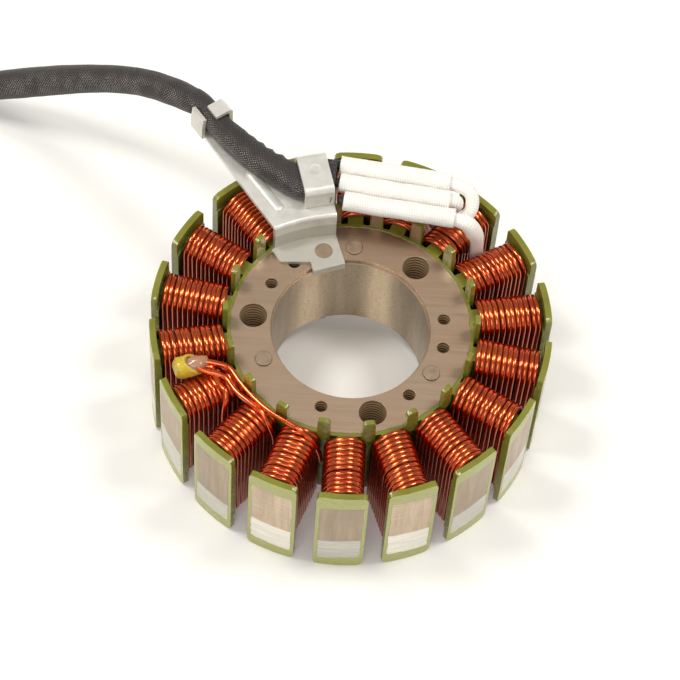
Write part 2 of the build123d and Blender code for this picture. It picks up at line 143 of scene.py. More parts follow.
def evaluated(piece):
    depsgraph = bpy.context.evaluated_depsgraph_get()
    return bpy.data.meshes.new_from_object(piece.evaluated_get(depsgraph))


def baked(piece):
    # modifiers become plain geometry, so nothing live is left on the piece
    mesh = evaluated(piece)
    piece.modifiers.clear()
    old = piece.data
    piece.data = mesh
    bpy.data.meshes.remove(old)
    return piece


def splineLine(points, steps=8):
    # a smooth NURBS line through the route's space, read back as points; points in mm
    curve = bpy.data.curves.new("line", "CURVE")
    curve.dimensions = "3D"
    curve.resolution_u = steps
    spline = curve.splines.new("NURBS")
    spline.points.add(len(points) - 1)
    for spot, point in zip(spline.points, points):
        spot.co = (*(Vector(point) * mm), 1.0)
    spline.use_endpoint_u = True
    spline.order_u = 3
    holder = show("line", curve)
    mesh = evaluated(holder)
    line = [v.co.copy() for v in mesh.vertices]
    bpy.data.objects.remove(holder)
    bpy.data.curves.remove(curve)
    bpy.data.meshes.remove(mesh)
    return line


def lineLength(line):
    return sum((b - a).length for a, b in zip(line, line[1:]))


def squared(angle, power):
    # a point on a circle pushed out towards a square, the more so the higher the power
    c, s = math.cos(angle), math.sin(angle)
    return [math.copysign(abs(v) ** (2 / power), v) for v in (c, s)]


def skinNoise(angle, along, size=1.0):
    # noise that runs round a skin without a seam
    return noise.noise(Vector((math.cos(angle) * size, math.sin(angle) * size, along)))


def framesAlong(line):
    # position, side and top directions and distance at each point, turned as little as possible
    frames = []
    distance = 0.0
    side = None
    for i, point in enumerate(line):
        before, after = line[max(i - 1, 0)], line[min(i + 1, len(line) - 1)]
        ahead = (after - before).normalized()
        if side is None:
            side = ahead.cross(Vector((0, 0, 1))).normalized()
        side = (side - ahead * side.dot(ahead)).normalized()
        if i:
            distance += (point - line[i - 1]).length
        frames.append((point, side, side.cross(ahead), distance))
    return frames


def tube(name, line, sides, shape, inner=None, diameter=6.0):
    # skin round a line; shape and inner turn a distance and an angle into (out, up), all in mm
    bm = bmesh.new()
    uv = bm.loops.layers.uv.new("wrap")
    frames = framesAlong(line)
    around = math.pi * diameter * mm
    skins = []
    for skin in (shape, inner) if inner else (shape,):
        rings = []
        for point, side, top, distance in frames:
            ring = []
            for k in range(sides):
                out, rise = skin(distance / mm, 2 * math.pi * k / sides)
                ring.append(bm.verts.new(point + (side * out + top * rise) * mm))
            rings.append(ring)
        skins.append(rings)
    for number, rings in enumerate(skins):
        for i in range(len(rings) - 1):
            for k in range(sides):
                marks = [(k, i), (k + 1, i), (k + 1, i + 1), (k, i + 1)]
                if number == 0:
                    marks.reverse()
                face = bm.faces.new([rings[b][a % sides] for a, b in marks])
                face.smooth = True
                for loop, (a, b) in zip(face.loops, marks):
                    loop[uv].uv = (a / sides * around, frames[b][3])
    for end in (0, -1):
        rims = [skins[0][end]]
        if inner:
            a, b = skins[0][end], skins[1][end]
            rims = [[a[k - 1], a[k], b[k], b[k - 1]] for k in range(sides)]
        for rim in rims:
            bm.faces.new(rim if end == 0 else rim[::-1]).smooth = True
    bmesh.ops.recalc_face_normals(bm, faces=bm.faces)
    return showMesh(name, bm)


def plainWire(name, route, sides, diameter):
    r = diameter / 2
    return tube(name, splineLine(route), sides, lambda d, a: (r * math.cos(a), r * math.sin(a)))


def softened(nodeName, name, width, segments=2):
    # the CAD solid's own form with its sharp edges broken
    bm = bmesh.new()
    bm.from_mesh(nodes[nodeName].data)
    bmesh.ops.remove_doubles(bm, verts=bm.verts, dist=2e-6)
    bmesh.ops.dissolve_limit(bm, angle_limit=math.radians(0.6), verts=bm.verts, edges=bm.edges)
    for face in bm.faces:
        face.smooth = True
    piece = showMesh(name, bm)
    bevel = piece.modifiers.new("edges", "BEVEL")
    bevel.width = width * mm
    bevel.segments = segments
    bevel.limit_method = "ANGLE"
    bevel.angle_limit = math.radians(32)
    bevel.harden_normals = True
    flat = piece.modifiers.new("flat faces", "WEIGHTED_NORMAL")  # wide faces shade flat
    flat.weight = 80
    return baked(piece)


# Camera

cameraValues = {
    "place": (-13.147, -358.117, 620.443),
    "target": (-2.078, 14.834, -17.65),
    "roll": 4.749,
    "lens": 142.70,
}


def makeCamera(values):
    data = bpy.data.cameras.new("view")
    data.sensor_width = 36
    data.lens = values["lens"]
    data.clip_start, data.clip_end = 0.01, 20
    eye = show("view", data)
    place, target = Vector(values["place"]) * mm, Vector(values["target"]) * mm
    back = (place - target).normalized()
    right = Vector((0, 0, 1)).cross(back).normalized()
    up = back.cross(right)
    roll = math.radians(values["roll"])
    turnedRight = right * math.cos(roll) + up * math.sin(roll)
    turnedUp = up * math.cos(roll) - right * math.sin(roll)
    turn = Matrix((turnedRight, turnedUp, back)).transposed().to_4x4()
    eye.matrix_world = Matrix.Translation(place) @ turn
    bpy.context.scene.camera = eye


makeCamera(cameraValues)
print("camera placed")


# The loom's free stretch and coil: one cord

# Black polyester sleeving, braided over three wires: matt black threads gone a little brown,
# with painted highlights: small grey painted glints at the crossings, in a band along one side
def braidMaterial():
    made, add = newMaterial("braided polyester sleeving")
    wrap = add("UVMap", uv_map="wrap")
    millimetres = add("VectorMath:SCALE", [wrap, None, None, 1000.0])
    # threads cross every 0.65 mm along the loom, drawn as coarse as the view can show
    weave = add("Mapping", {"Vector": millimetres, "Rotation": (0, 0, math.radians(45))})
    checks = add("TexVoronoi", {"Vector": weave, "Scale": 1.6, "Randomness": 0.22},
                 distance="CHEBYCHEV")
    crossing = add("MapRange", [checks, 0.10, 0.34, 1.0, 0.0])
    patches = add("TexNoise", [millimetres, None, 0.22, 3.0])
    paintedGlintPatches = add("MapRange", [patches, 0.38, 0.62, 0.2, 1.0])
    # painted highlight: grey glints only in a band along one side of the loom, in patches along it
    around = add("SeparateXYZ", [millimetres])
    fromBand = add("Math:SUBTRACT", [around, 10.6])
    awayFromBand = add("Math:ABSOLUTE", [fromBand])
    paintedGlintBand = add("MapRange", [awayFromBand, 1.6, 3.6, 1.0, 0.16])
    paintedGlintAmount = add("Math:MULTIPLY", [paintedGlintPatches, paintedGlintBand])
    paintedGlint = add("Math:MULTIPLY", [crossing, paintedGlintAmount])
    tint = add("Mix", {0: paintedGlint, 6: "#272120", 7: "#A89E97"}, **asColour)
    rough = add("MapRange", [paintedGlint, 0.0, 1.0, 0.62, 0.38])
    bump = add("Bump", {"Strength": 0.55, "Distance": 0.00025, "Height": crossing})
    return finished(made, add, {
        "Base Color": tint, "Roughness": rough, "IOR": 1.5, "Normal": bump,
        "Sheen Weight": 0.12, "Sheen Roughness": 0.5})


braid = braidMaterial()

loomValues = {
    "diameter": 7.8,
    "sides": 28,
    "route": [
        (-43.19, 58.75, 27.9), (-49.3, 63.6, 25.4), (-60.3, 70.8, 20.0), (-73.8, 77.0, 11.6),
        (-87.5, 82.0, 2.0), (-101.5, 85.6, -6.8), (-114.8, 87.6, -12.9), (-128.6, 88.5, -15.35),
        (-142.6, 87.9, -15.35),
    ],
    "coilCentre": (-157.0, 45.0, -15.35),
    # radius of each turn of the coil, and from where to where it goes in degrees
    "turns": [(42.9, 90, 412), (34.95, 437, 720)],
    "turnStep": 18,
    "lumps": 0.22,
    "twist": 26,  # mm along the loom while the wires under the braid turn by one radian
    "slackTo": 22,
    "foldStep": 1.25,
    "puffedAt": 62,
}


def makeLoomCord(values):
    centre = Vector(values["coilCentre"])
    route = [Vector(p) for p in values["route"]]
    step = values["turnStep"]
    outward = 1 / math.cos(math.radians(step / 2))  # the spline cuts inside its points
    for radius, first, end in values["turns"]:
        route += [centre + polar(radius * outward, angle) for angle in range(first, end, step)]
    route.append(centre + polar(radius, end))
    line = splineLine(route)
    radius = values["diameter"] / 2

    def skin(d, angle):
        # three wires lie under the braid and turn slowly with it
        bundle = 0.035 * math.cos(3 * (angle - d / values["twist"]))
        grain = values["lumps"] * skinNoise(angle, d / 5, 1.2)
        # the braid's slack gathers in small folds on one side, just after the claws
        slack = 0.5 + 0.5 * math.tanh((values["slackTo"] - d) / 6)
        wave = math.sin(d / values["foldStep"] + 1.4 * math.cos(angle))
        fold = 0.28 * slack * wave * max(0.0, math.cos(angle - 2.2))
        start = 1 - 0.10 * math.exp(-((d / 5) ** 2))
        puffed = 0.45 * math.exp(-(((d - values["puffedAt"]) / 20) ** 2))
        r = radius * (start + bundle * 0.5) - 0.12 + grain * 0.5 + fold * 0.5 + puffed
        return r * math.cos(angle), r * math.sin(angle)

    piece = tube("loomCord", line, values["sides"], skin, diameter=values["diameter"])
    print("loom line", round(lineLength(line) / mm, 1), "mm,", len(piece.data.polygons), "faces")
    return piece, line


loomCord, loomLine = makeLoomCord(loomValues)
dress(loomCord, braid, "black_braid", "loom", "loom_coil")
print("loom laid")


# Coated steel: laminations and end plates

# Electrical steel sheets stacked and powder-coated in olive epoxy, then ground bare on the
# ring's faces, in the bore and on the pole tips: green rims round brushed brown-grey steel
steelValues = {
    "pitch": 20.0,
    "firstPole": -90.0,
    "tipRadius": 52.36,
    "ringEdge": 31.35,
    "ringToTip": (45.0, 46.0),
    "boreRadius": 20.4,
    "boreEdge": (20.95, 21.2),
    # ground patch on a pole tip: its half width, its foot, and from where to where its top
    # and the top of its bright band lie from pole to pole
    "tipHalf": 5.6,
    "tipFoot": -14.9,
    "tipTop": (12.8, 14.5),
    "brightBand": (-8.2, -3.0),
    # ground patch on a tab's inner face: just outside each of its limits, and just inside
    "tabSide": (1.5, 1.35),
    "tabTop": (22.1, 21.9),
    "tabFoot": (14.6, 15.0),
    "tabFace": (-0.85, -0.95),
    "tabRadius": (32.7, 32.5),
    "tabsBehind": (23.0, 26.0),
    "threadStep": 1.25,
    # x of the middle between the bore's two painted sheens, and how far off it each lies
    "paintedSheens": (-1.7, 9.2),
}


def coatedSteelMaterial(values):
    made, add = newMaterial("epoxy-coated lamination steel, ground bare")
    pitch = math.radians(values["pitch"])
    shift = -values["firstPole"] / values["pitch"] + 0.5
    spot = inMillimetres(add)
    x, y, z = (add("SeparateXYZ", [spot], out=k) for k in range(3))
    flat = add("VectorMath:MULTIPLY", [spot, (1, 1, 0)])
    radius = add("VectorMath:LENGTH", [flat], out=1)
    outward = add("VectorMath:NORMALIZE", [flat])
    facing = add("NewGeometry", out="Normal")
    radial = add("VectorMath:DOT_PRODUCT", [facing, outward], out=1)
    upright = add("SeparateXYZ", [facing], out=2)
    angle = add("Math:ARCTAN2", [y, x])
    turn = add("Math:MULTIPLY_ADD", [angle, 1 / pitch, shift + 18])
    pole = add("Math:FLOOR", [turn])
    arc = add("Math:MULTIPLY", [radius, pitch])

    def fromMiddleOf(turn):
        # along the circle from the middle of each whole turn, and how far in either direction
        local = add("Math:FRACT", [turn])
        centred = add("Math:ADD", [local, -0.5])
        across = add("Math:MULTIPLY", [centred, arc])
        return across, add("Math:ABSOLUTE", [across])

    across, span = fromMiddleOf(turn)
    chance = add("TexWhiteNoise", {"W": pole}, out="Color", noise_dimensions="1D")
    chanceA, chanceB, chanceC = (add("SeparateColor", [chance], out=k) for k in range(3))

    # pole tips: how far inside each edge of the ground patch a point lies
    waver = add("TexNoise", [spot, None, 0.45, 3.0])
    wobble = add("Math:ADD", [waver, -0.5])
    slope = add("MapRange", [chanceA, 0.0, 1.0, -0.09, 0.09])
    topAt = add("MapRange", [chanceB, 0.0, 1.0, *values["tipTop"]])
    leaning = add("Math:MULTIPLY_ADD", [across, slope, z])
    shaky = add("Math:MULTIPLY_ADD", [wobble, 0.9, leaning])
    underTop = add("Math:SUBTRACT", [topAt, shaky])
    overBottom = add("Math:SUBTRACT", [shaky, values["tipFoot"]])
    shakySpan = add("Math:MULTIPLY_ADD", [wobble, 0.7, span])
    inSide = add("Math:SUBTRACT", [values["tipHalf"], shakySpan])
    outerSkin = add("Math:SUBTRACT", [radius, values["tipRadius"]])
    near = add("Math:MINIMUM", [underTop, overBottom])
    nearer = add("Math:SMOOTH_MIN", [near, inSide, 1.4])
    tipEdge = add("MapRange", [nearer, -0.08, 0.10])
    tipSkin = add("MapRange", [outerSkin, 0.0, 0.04])
    tipBare = add("Math:MULTIPLY", [tipEdge, tipSkin])

    # ring, bore and holes: bare inside a slightly wavy circle
    wavyRadius = add("Math:MULTIPLY_ADD", [wobble, 1.1, radius])
    inEdge = add("Math:SUBTRACT", [values["ringEdge"], wavyRadius])
    ringBare = add("MapRange", [inEdge, -0.08, 0.08])

    # inner faces of the tabs between the poles
    tabTurn = add("Math:ADD", [turn, 0.5])
    tabSpan = fromMiddleOf(tabTurn)[1]
    # only the tabs behind were touched by the grinding
    tabBare = add("MapRange", [y, *values["tabsBehind"]])
    for way, key in ((tabSpan, "tabSide"), (z, "tabTop"), (z, "tabFoot"), (radial, "tabFace"),
                     (radius, "tabRadius")):
        limit = add("MapRange", [way, *values[key]])
        tabBare = add("Math:MULTIPLY", [tabBare, limit])
    bareA = add("Math:MAXIMUM", [ringBare, tabBare])
    bare = add("Math:MAXIMUM", [bareA, tipBare], use_clamp=True)

    # tip colours: brown upper part with upright streaks, bright lower part
    bandAt = add("MapRange", [chanceC, 0.0, 1.0, *values["brightBand"]])
    bandGap = add("Math:SUBTRACT", [bandAt, shaky])
    bright = add("MapRange", [bandGap, -0.25, 0.35])
    brightTip = add("Math:MULTIPLY", [bright, tipSkin])
    streakPlace = add("CombineXYZ", [across, z, pole])
    streaks = stretchedNoise(add, streakPlace, (0.75, 0.05, 3.7), 4.0, 0.6)
    scratches = stretchedNoise(add, streakPlace, (0.10, 3.2, 1.9), 5.0, 0.7)
    sheetPhase = add("Math:MULTIPLY", [z, 2 * math.pi / values["threadStep"]])
    sheetLine = add("Math:SINE", [sheetPhase])
    level = add("Math:ABSOLUTE", [upright])
    wallOnly = add("MapRange", [level, 0.3, 0.6, 1.0, 0.0])
    inHoles = add("MapRange", [radius, *values["boreEdge"]])
    holeSide = add("Math:MULTIPLY", [wallOnly, inHoles])
    holeWall = add("Math:MULTIPLY", [holeSide, ringBare])

    # ring face: long straight grinding marks all one way
    grindWay = (0, 0, math.radians(4))
    grindPlace = add("Mapping", {"Vector": spot, "Rotation": grindWay, "Scale": (0.035, 1.6, 0.5)})
    grinding = add("TexNoise", [grindPlace, None, 1.0, 5.0, 0.65])
    clouds = add("TexNoise", [spot, None, 0.09, 3.0])
    onTip = add("MapRange", [radius, *values["ringToTip"]])
    grainSoft = add("Mix", {0: onTip, 2: grinding, 3: streaks})
    ringTint = shades(add, grainSoft, 0.3, 0.7, "#AA9077", "#B2987F")
    tipTint = shades(add, grainSoft, 0.3, 0.7, "#AB9479", "#D0BCA2")
    brown = add("Mix", {0: onTip, 6: ringTint, 7: tipTint}, **asColour)
    # each pole's tip gets its own tone, darkest on the front pole and lighter on its neighbours:
    # partly the tips' own tone, partly painted shade
    polePhase = add("Math:MULTIPLY_ADD", [pole, 2.6, 1.894])
    poleWave = add("Math:SINE", [polePhase])
    poleToneAndShade = add("MapRange", [poleWave, -1.0, 1.0, 0.72, 1.12])
    tipToneAndShade = add("Mix", {0: onTip, 2: 1.0, 3: poleToneAndShade})
    browner = shades(add, clouds, 0.35, 0.65, brown, "#AD9A88", 0.45)
    scratchLift = add("MapRange", [scratches, 0.55, 0.68, 0.0, 0.6])
    scratchedPole = add("MapRange", [chanceA, 0.45, 0.9, 0.15, 1.0])
    scratchable = add("Math:MULTIPLY", [onTip, scratchedPole])
    scratchTip = add("Math:MULTIPLY", [scratchLift, scratchable])
    scratched = add("Mix", {0: scratchTip, 6: browner, 7: "#D9D2C8"}, **asColour)
    silvery = shades(add, scratches, 0.35, 0.6, "#CFCABE", "#EDEAE2")
    metal = add("Mix", {0: brightTip, 6: scratched, 7: silvery}, **asColour)
    # painted highlight and shade on the thread rings in the holes: pale on the crests, dark brown
    # between them
    paintedThreadRings = shades(add, sheetLine, -0.4, 0.8, "#84684C", "#F4DDB8")
    metalHole = add("Mix", {0: holeWall, 6: metal, 7: paintedThreadRings}, **asColour)

    # bore wall: sheets stamped and honed, soft upright bands and fine dark lines round it
    girth = add("Math:MULTIPLY", [angle, values["boreRadius"]])
    unrolled = add("CombineXYZ", [girth, z])
    specks = stretchedNoise(add, unrolled, (0.9, 7.0, 1.0), 3.0, 0.7)
    bands = stretchedNoise(add, unrolled, (0.16, 0.02, 1.0), 4.0, 0.6)
    boreTint = shades(add, bands, 0.35, 0.65, "#B2A189", "#CDBDA5")
    speckled = shades(add, specks, 0.5, 0.70, boreTint, "#6B5A4A", 0.8)
    insideBore = add("MapRange", [radius, *values["boreEdge"], 1.0, 0.0])
    inBore = add("Math:MULTIPLY", [wallOnly, insideBore])
    # two painted sheens: lighter upright bands left and right of the wall's middle, with painted
    # shade on the wall away from them
    offPaintedSheen = x
    for middle in values["paintedSheens"]:
        gap = add("Math:SUBTRACT", [offPaintedSheen, middle])
        offPaintedSheen = add("Math:ABSOLUTE", [gap])
    paintedSheen = add("MapRange", [offPaintedSheen, 0.5, 6.5, 1.9, 0.87], interpolation_type="SMOOTHSTEP")
    boreTintWithPaintedSheen = add("VectorMath:SCALE", {0: speckled, 3: paintedSheen})
    metalWall = add("Mix", {0: inBore, 6: metalHole, 7: boreTintWithPaintedSheen}, **asColour)
    metalAll = add("VectorMath:SCALE", {0: metalWall, 3: tipToneAndShade})

    # epoxy: olive, and lighter on the outer faces of the pole tips: painted light there
    pools = add("TexNoise", [spot, None, 0.16, 2.0])
    olive = add("Mix", {0: pools, 6: "#6C6B1F", 7: "#8C8D35"}, **asColour)
    paintedLightOnTips = add("Math:MULTIPLY", [tipSkin, 0.75])
    epoxy = add("Mix", {0: paintedLightOnTips, 6: olive, 7: "#B2B45F"}, **asColour)
    colour = add("Mix", {0: bare, 6: epoxy, 7: metalAll}, **asColour)
    metalRough = add("MapRange", [grainSoft, 0.3, 0.7, 0.39, 0.48])
    rough = add("Mix", {0: bare, 2: 0.24, 3: metalRough})
    # walls inside the holes are rough-cut, so they scatter light more than they mirror it
    honed = add("Math:MULTIPLY_ADD", [inBore, -0.2, 0.92])
    subdued = add("Math:MULTIPLY_ADD", [holeWall, -0.6, honed])
    metallic = add("Math:MULTIPLY", [bare, subdued])

    # relief: the coat stands a little proud of the ground steel, sheets show in the holes
    thick = add("Math:MULTIPLY", [bare, -0.5])
    lumps = add("TexNoise", [spot, None, 0.55, 1.5])
    coated = add("Math:SUBTRACT", [1.0, bare])
    lumpy = add("Math:MULTIPLY", [lumps, coated])
    relief = add("Math:MULTIPLY_ADD", [lumpy, 1.5, thick])
    shown = ((sheetLine, holeWall, 0.5), (grainSoft, bare, 0.10), (specks, inBore, 0.3))
    for pattern, where, amount in shown:
        share = add("Math:MULTIPLY", [where, amount])
        relief = add("Math:MULTIPLY_ADD", [pattern, share, relief])
    bump = add("Bump", {"Strength": 0.6, "Distance": 0.00035, "Height": relief})
    return finished(made, add, {
        "Base Color": colour, "Metallic": metallic, "Roughness": rough, "Normal": bump,
        "Coat Weight": 0.25, "Coat Roughness": 0.18})


coatedSteel = coatedSteelMaterial(steelValues)
plateEdge = {"width": 0.5, "segments": 3}
coat(nodes["core_stack"], coatedSteel)
for side in ("upper", "lower"):
    plate = softened(f"end_plate_{side}", f"{side}EndPlate", **plateEdge)
    dress(plate, coatedSteel, "green_epoxy", f"end_plate_{side}")
print("core and end plates coated")


# Windings

# Copper wire drawn, enamelled in amber polyimide and dipped in varnish: orange with near-white
# glints on top; dark maroon painted shade in the grooves between the turns and on the flanks
def enamelMaterial():
    made, add = newMaterial("enamelled copper wire")
    spot = inMillimetres(add)
    drift = add("TexNoise", [spot, None, 0.12, 3.0])
    tint = shades(add, drift, 0.35, 0.65, "#E06C2C", "#F08A42")
    groove = add("Attribute", out="Fac", attribute_name="groove")
    # painted shade in the grooves between the turns: deepest on the flanks, least over the crown
    z = add("SeparateXYZ", [spot], out=2)
    height = add("Math:ABSOLUTE", [z])
    crown = add("MapRange", [height, 12.4, 16.4])
    deep = add("MapRange", [crown, 0.0, 1.0, 0.97, 0.66])
    grooveShade = add("MapRange", {0: groove, 1: 0.34, 2: 0.95, 3: 0.0, 4: deep})
    # painted shade on the flanks: away from the crown the tint turns to dark maroon
    flankShade = add("MapRange", [crown, 0.0, 1.0, 0.5, 0.0])
    flankShadeTint = add("Mix", {0: flankShade, 6: tint, 7: "#7E2B2A"}, **asColour)
    # painted shade in the grooves: dark maroon, darker on the flanks than on the crown
    varnished = add("Mix", {0: crown, 6: "#45121C", 7: "#641A12"}, **asColour)
    tinted = add("Mix", {0: grooveShade, 6: flankShadeTint, 7: varnished}, **asColour)
    metallic = add("MapRange", [grooveShade, 0.0, 1.0, 1.0, 0.45])
    dents = add("TexNoise", [spot, None, 0.35, 1.0])
    bump = add("Bump", {"Strength": 0.12, "Distance": 0.0003, "Height": dents})
    rough = add("MapRange", [dents, 0.3, 0.7, 0.17, 0.23])
    return finished(made, add, {
        "Base Color": tinted, "Metallic": metallic, "Roughness": rough, "Normal": bump,
        "Coat Weight": 0.85, "Coat Roughness": 0.1, "Coat IOR": 1.55, "Coat Tint": "#F9BC8C"})


enamel = enamelMaterial()

coilValues = {
    "poles": 18,
    "firstPole": -90.0,
    "pitch": 20.0,
    "turns": 12,
    "wire": 1.4,
    "firstTurn": 34.1,
    "turnStep": 1.38,
    "outerHalf": (4.8, 16.65),
    "underHalf": (3.59, 15.44),
    "crown": (4.1, 3.0),
    "jitter": 0.045,
}


def turnProfile(name, half, crown, power, count):
    # one turn seen along the pole: straight flanks and an arched top and bottom
    wide, high = half
    shoulder = high - crown
    spots = []
    for sign in (1, -1):
        for k in range(count + 1):
            c, s = squared(math.pi * k / count, power)
            spots.append((wide * c * sign, (shoulder + crown * s) * sign))
    curve = bpy.data.curves.new(name, "CURVE")
    curve.dimensions = "3D"
    spline = curve.splines.new("POLY")
    spline.points.add(len(spots) - 1)
    for point, (a, b) in zip(spline.points, spots):
        point.co = (0, a * mm, b * mm, 1)
    spline.use_cyclic_u = True
    return show(name, curve)


turnSockets = {
    "Outer turn": "Object", "Under turn": "Object", "Turns": "Int", "First turn": "Float",
    "Turn step": "Float", "Wire radius": "Float", "Slant": "Float", "Jitter": "Float",
    "Seed": "Int", "Finish": "Material",
}


def turnsTree():
    # rows of wire turns along a pole: an outer row, and an under row in its valleys
    tree = bpy.data.node_groups.new("wound turns", "GeometryNodeTree")
    face = tree.interface
    face.new_socket("Geometry", in_out="INPUT", socket_type="NodeSocketGeometry")
    for label, kind in turnSockets.items():
        face.new_socket(label, in_out="INPUT", socket_type="NodeSocket" + kind)
    face.new_socket("Geometry", in_out="OUTPUT", socket_type="NodeSocketGeometry")
    given = tree.nodes.new("NodeGroupInput").outputs
    step, jitter, seed = given["Turn step"], given["Jitter"], given["Seed"]
    add = partial(put, tree)
    rows = []
    for number, (label, sides) in enumerate((("Outer turn", 14), ("Under turn", 6))):
        section = add("GeometryNodeCurvePrimitiveCircle",
                      {"Resolution": sides, "Radius": given["Wire radius"]}, out="Curve")
        shape = add("GeometryNodeObjectInfo", {"Object": given[label]}, out="Geometry")
        # varnish evens out the wire's skin, so each turn stands a little lower than it is wide
        lowered = add("GeometryNodeTransform", {"Geometry": section, "Scale": (1.02, 0.86, 1.0)})
        turn = add("GeometryNodeCurveToMesh", {"Curve": shape, "Profile Curve": lowered})
        smooth = add("GeometryNodeSetShadeSmooth", {"Geometry": turn})
        # how far a point of the wire's skin faces its neighbour turn
        facing = add("SeparateXYZ", [add("GeometryNodeInputNormal")])
        sideways = add("Math:ABSOLUTE", [facing])
        marked = add("GeometryNodeStoreNamedAttribute",
                     {"Geometry": smooth, "Name": "groove", "Value": sideways})
        count = add("Math:SUBTRACT", [given["Turns"], float(number)])
        begin = add("Math:MULTIPLY_ADD", [step, 0.5 * number, given["First turn"]])
        start = add("CombineXYZ", [begin])
        pace = add("CombineXYZ", [step])
        row = add("GeometryNodeMeshLine", {"Count": count, "Start Location": start, "Offset": pace})
        # turns shift a little along the pole and sideways, and only down from the crown
        away = add("Math:MULTIPLY", [jitter, -1.0])
        alongLeast = add("Math:MULTIPLY", [away, 0.35])
        alongMost = add("Math:MULTIPLY", [jitter, 0.35])
        least = add("CombineXYZ", [alongLeast, away, away])
        most = add("CombineXYZ", [alongMost, jitter, 0.0])
        shift = add("FunctionNodeRandomValue", {"Min": least, "Max": most, "Seed": seed},
                    data_type="FLOAT_VECTOR")
        moved = add("GeometryNodeSetPosition", {"Geometry": row, "Offset": shift})
        lean = add("FunctionNodeRandomValue", {2: -0.012, 3: 0.012, "Seed": seed}, out=1)
        slant = add("Math:ADD", [given["Slant"], lean])
        turned = add("CombineXYZ", [0.0, lean, slant])
        rows.append(add("GeometryNodeInstanceOnPoints",
                        {"Points": moved, "Instance": marked, "Rotation": turned}))
    both = tree.nodes.new("GeometryNodeJoinGeometry")
    for row in rows:
        tree.links.new(row, both.inputs[0])
    real = add("GeometryNodeRealizeInstances", {"Geometry": both.outputs[0]})
    wound = add("GeometryNodeSetMaterial", {"Geometry": real, "Material": given["Finish"]})
    add("NodeGroupOutput", [wound])
    return tree


def windPoles(values):
    outer = turnProfile("outerTurn", values["outerHalf"], values["crown"][0], 2.1, 20)
    under = turnProfile("underTurn", values["underHalf"], values["crown"][1], 2.4, 8)
    tree = turnsTree()
    sockets = {s.name: s.identifier for s in tree.interface.items_tree if s.in_out == "INPUT"}
    for index in range(values["poles"]):
        piece = show(f"coilWinding_{index + 1:02d}", bpy.data.meshes.new("turns"))
        made = piece.modifiers.new("turns", "NODES")
        made.node_group = tree
        slant = math.radians(4.0 + 2.2 * math.sin(index * 2.3))
        chosen = [
            outer, under, values["turns"], values["firstTurn"] * mm, values["turnStep"] * mm,
            values["wire"] / 2 * mm, slant, values["jitter"] * mm, index * 7 + 3, enamel]
        for label, value in zip(turnSockets, chosen):
            made[sockets[label]] = value
        baked(piece)
        angle = math.radians(values["firstPole"] + index * values["pitch"])
        piece.data.transform(Matrix.Rotation(angle, 4, "Z"))
        dress(piece, enamel, "enamelled_copper", f"coil_{index + 1:02d}")
    for helper in (outer, under):
        bpy.data.objects.remove(helper)
    print("poles wound,", len(piece.data.polygons), "faces each")


windPoles(coilValues)


# Bracket and rivets

# Sheet steel, pressed and folded, then bright zinc plated: satin silver with a faint
# mottle and fine rolling lines, and a greyer tint low down, on the foot that lies on the ring
zincValues = {
    "dimple": (-11.6, 37.8, 30.8),
    "beadStart": (-20.79, 29.55, 0),
    "beadWay": (-0.6088, 0.7934, 0),
    "beadLength": 12.3,
    "footTop": (20.1, 20.9),
}


def zincMaterial(values):
    made, add = newMaterial("zinc-plated sheet steel")
    spot = inMillimetres(add)
    mottle = add("TexNoise", [spot, None, 0.22, 4.0, 0.6])
    rollWay = (0, 0, math.radians(52))
    rolling = add("Mapping", {"Vector": spot, "Rotation": rollWay, "Scale": (0.08, 2.2, 1.0)})
    rolled = add("TexNoise", [rolling, None, 1.0, 4.0])
    tint = shades(add, mottle, 0.35, 0.65, "#DBD9D1", "#E9E7E0")
    height = add("SeparateXYZ", [spot], out=2)
    # greyer towards the bottom: the tint turns grey below the foot's top
    subdued = add("MapRange", [height, *values["footTop"], 0.75, 0.0])
    tinted = add("Mix", {0: subdued, 6: tint, 7: "#BCB7AB"}, **asColour)
    rough = add("MapRange", [rolled, 0.3, 0.7, 0.34, 0.46])
    bump = add("Bump", {"Strength": 0.12, "Distance": 0.0001, "Height": rolled})
    # a shallow round dimple, pressed into the strap's top
    away = add("VectorMath:DISTANCE", [spot, values["dimple"]], out=1)
    dimple = add("MapRange", [away, 0.9, 1.9], interpolation_type="SMOOTHSTEP")
    dented = add("Bump", {"Strength": 0.35, "Distance": 0.0003, "Height": dimple, "Normal": bump})
    # the rounded back of the bead pressed along the arm
    plan = add("VectorMath:MULTIPLY", [spot, (1, 1, 0)])
    fromStart = add("VectorMath:SUBTRACT", [plan, values["beadStart"]])
    along = add("VectorMath:DOT_PRODUCT", [fromStart, values["beadWay"]], out=1)
    kept = add("Clamp", [along, 0.0, values["beadLength"]])
    nearest = add("VectorMath:SCALE", {0: values["beadWay"], 3: kept})
    beadGap = add("VectorMath:DISTANCE", [fromStart, nearest], out=1)
    ridge = add("MapRange", [beadGap, 0.2, 1.6, 1.0, 0.0], interpolation_type="SMOOTHSTEP")
    beaded = add("Bump", {"Strength": 0.4, "Distance": 0.0006, "Height": ridge, "Normal": dented})
    return finished(made, add, {
        "Base Color": tinted, "Metallic": 0.5, "Roughness": rough, "Normal": beaded})


zinc = zincMaterial(zincValues)
dress(softened("bracket", "loomBracket", 0.22), zinc, "zinc_plated_sheet", "bracket")
# Plain steel rivets, headed and left bare: brown-grey like the ground ring, a shade darker
rivetSteel = plainMaterial("bare headed steel", 0.8, 4.0, ("#99836F", "#AE9A85"),
                           (0.38, 0.52), (0.2, 0.0001), {"Metallic": 0.9})
dress(softened("stack_rivets", "ringRivets", 0.18), rivetSteel, "rivet_steel", "stack_rivets")
dress(softened("bracket_rivet", "footRivet", 0.12), rivetSteel, "rivet_steel", "bracket_rivet")
print("bracket and rivets finished")


# White sleeves

